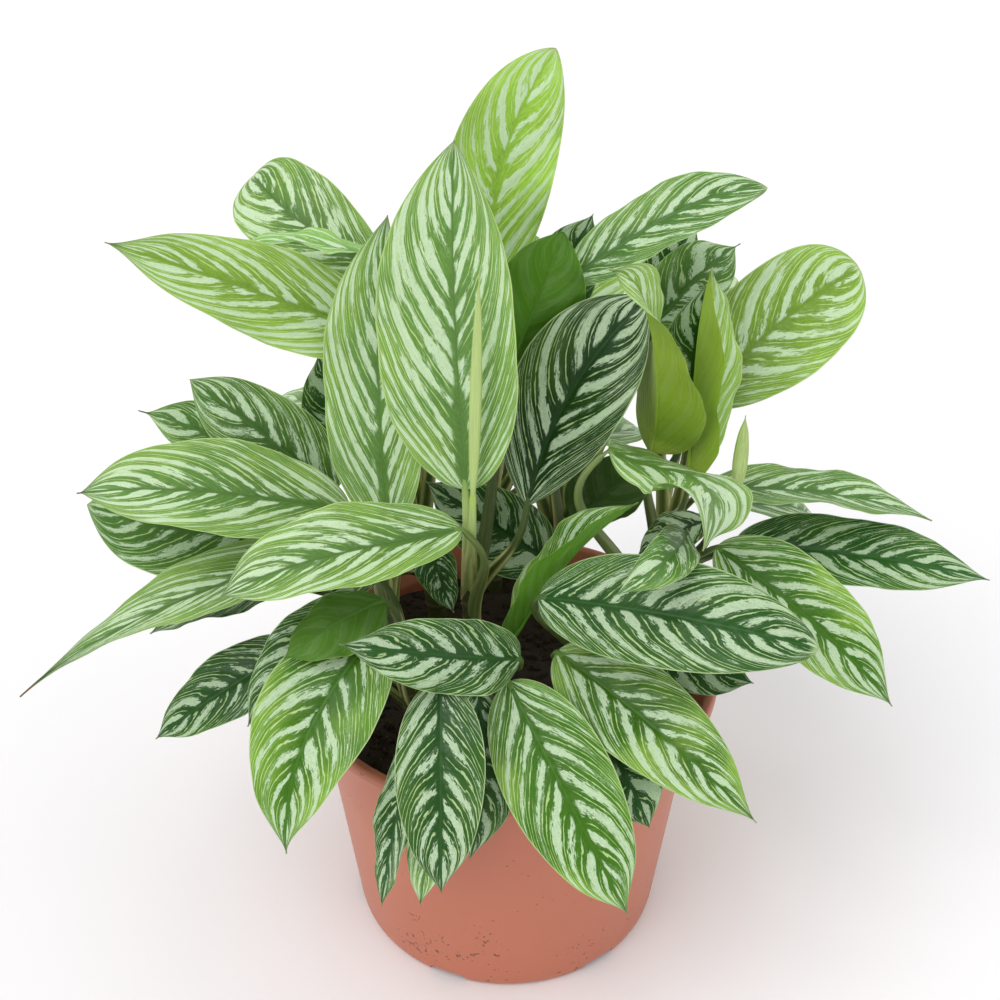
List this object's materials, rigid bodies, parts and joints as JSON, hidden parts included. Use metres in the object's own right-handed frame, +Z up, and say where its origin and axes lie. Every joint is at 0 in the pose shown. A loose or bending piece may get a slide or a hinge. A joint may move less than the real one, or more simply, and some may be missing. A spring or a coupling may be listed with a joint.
{
  "type": "potted striped chinese evergreen",
  "caption": "Bushy striped Chinese evergreen with broad pointed leaves on leafy canes, in a round terracotta-coloured nursery pot of soil.",
  "frame": {"origin": "centre of the pot's flat underside", "axes": "+Z up through the middle of the pot; -Y is the side that is seen most, with the longest leaves to -X and +X"},
  "size_m": [0.5247, 0.3954, 0.5069],
  "materials": {
    "pot": "satin moulded plastic, terracotta coloured",
    "soil": "loose damp crumbs",
    "foliage": "semi-gloss living leaf, green with silver bands"
  },
  "bodies": {
    "root": {"pot": "pot", "soil": "soil", "stem_centre": "foliage", "stem_left": "foliage", "stem_front_left": "foliage", "stem_front": "foliage", "stem_front_right": "foliage", "stem_right": "foliage", "stem_back": "foliage", "stem_back_left": "foliage", "stem_back_right": "foliage", "stem_far_back": "foliage"}
  },
  "joints": []
}
